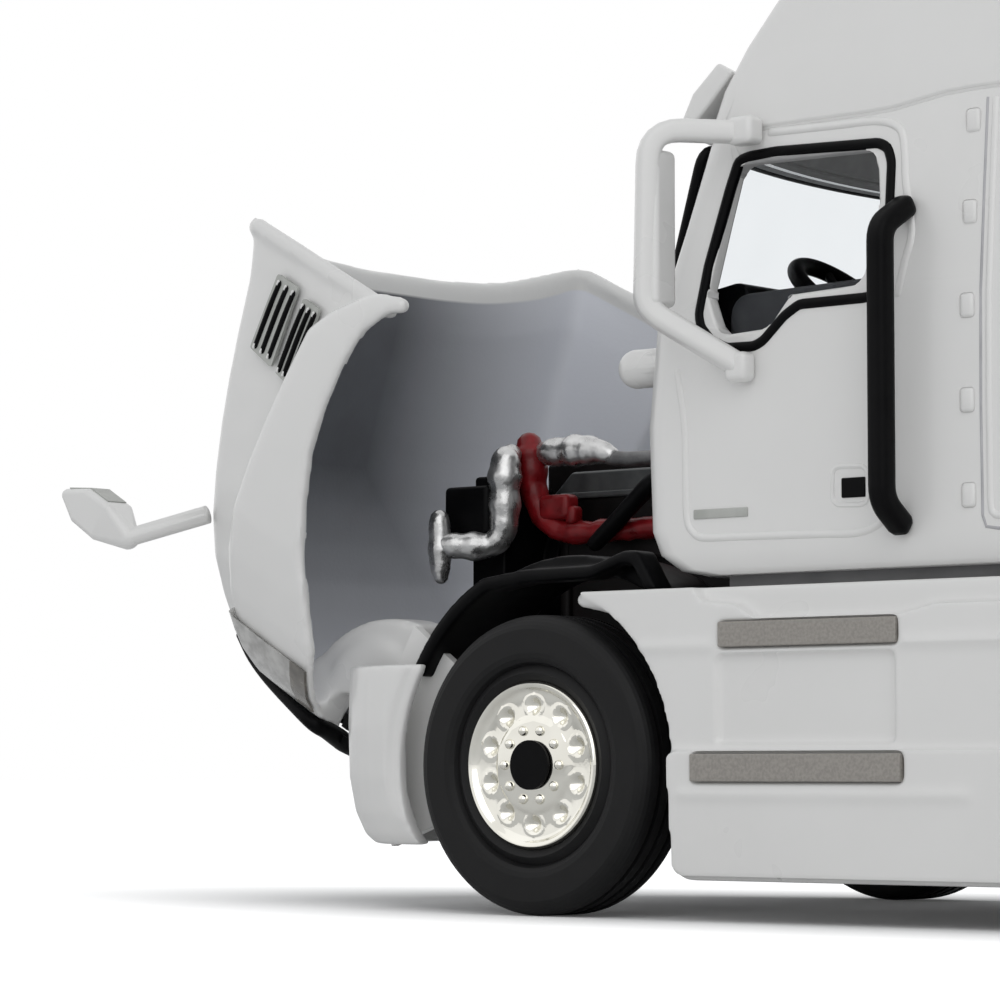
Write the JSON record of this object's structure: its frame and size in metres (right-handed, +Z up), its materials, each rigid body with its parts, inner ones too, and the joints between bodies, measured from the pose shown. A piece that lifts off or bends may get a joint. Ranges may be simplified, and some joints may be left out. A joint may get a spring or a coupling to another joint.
{
  "type": "scale model semi truck tractor unit",
  "caption": "Die-cast model of a sleeper-cab tractor unit, one-piece hood tilted open over the engine, tandem rear axles with twin tyres and a fifth wheel",
  "frame": {"origin": "centre of the footprint on the floor, hood open as in the rest pose", "axes": "+X forward, +Y to the driver's side, +Z up; wheels stand on Z = 0"},
  "size_m": [0.1856, 0.0556, 0.077],
  "materials": {
    "white_paint": "gloss white paint on a zinc casting",
    "black_plastic": "satin black moulded plastic",
    "grey_plastic": "satin dark grey moulded plastic",
    "tyre": "black rubber",
    "chrome": "bright plated plastic",
    "steel": "steel pin with black ends",
    "silver": "satin silver paint",
    "engine_red": "dark red paint",
    "lens_red": "red lens",
    "lens": "silvered lens",
    "glass": "clear moulded insert"
  },
  "bodies": {
    "truck": {"bumper": "white_paint", "fairing_left": "white_paint", "fairing_right": "white_paint", "cab_shell": "white_paint", "roof": "white_paint", "visor": "white_paint", "door_mirrors": "white_paint", "frame": "black_plastic", "front_axle_beam": "black_plastic", "rear_axle_housings": "black_plastic", "hinge_bar": "black_plastic", "liners": "black_plastic", "fifth_wheel": "black_plastic", "mud_flaps": "black_plastic", "radiator": "black_plastic", "hoses": "black_plastic", "grab_handles": "black_plastic", "steering_wheel": "black_plastic", "window_seals": "black_plastic", "cab_floor": "grey_plastic", "interior": "grey_plastic", "seats": "grey_plastic", "dash": "grey_plastic", "step_treads": "silver", "fuel_tanks": "silver", "deck_plate": "silver", "charge_pipes": "silver", "rocker_cover": "silver", "engine_block": "engine_red", "tail_lamps": "lens_red", "window_insert": "glass"},
    "hood_body": {"hood": "white_paint", "grille": "black_plastic", "headlamps": "lens", "hood_vents": "silver", "hood_mirrors": "white_paint"},
    "front_wheels": {"front_tyres": "tyre", "front_rims": "chrome", "front_axle": "steel"},
    "rear_wheels_1": {"rear_1_tyres": "tyre", "rear_1_rims": "chrome", "rear_1_axle": "steel"},
    "rear_wheels_2": {"rear_2_tyres": "tyre", "rear_2_rims": "chrome", "rear_2_axle": "steel"}
  },
  "joints": [
    {"name": "hood_tilt", "type": "hinge", "parent": "truck", "child": "hood_body", "pos_m": [0.06479, 0, 0.015], "axis": [0, 1, 0], "range_deg": [-60, 0]},
    {"name": "front_axle_spin", "type": "hinge", "parent": "truck", "child": "front_wheels", "pos_m": [0.04479, 0, 0.0103], "axis": [0, 1, 0], "continuous": true},
    {"name": "rear_axle_1_spin", "type": "hinge", "parent": "truck", "child": "rear_wheels_1", "pos_m": [-0.05211, 0, 0.0103], "axis": [0, 1, 0], "continuous": true},
    {"name": "rear_axle_2_spin", "type": "hinge", "parent": "truck", "child": "rear_wheels_2", "pos_m": [-0.07831, 0, 0.0103], "axis": [0, 1, 0], "continuous": true}
  ]
}
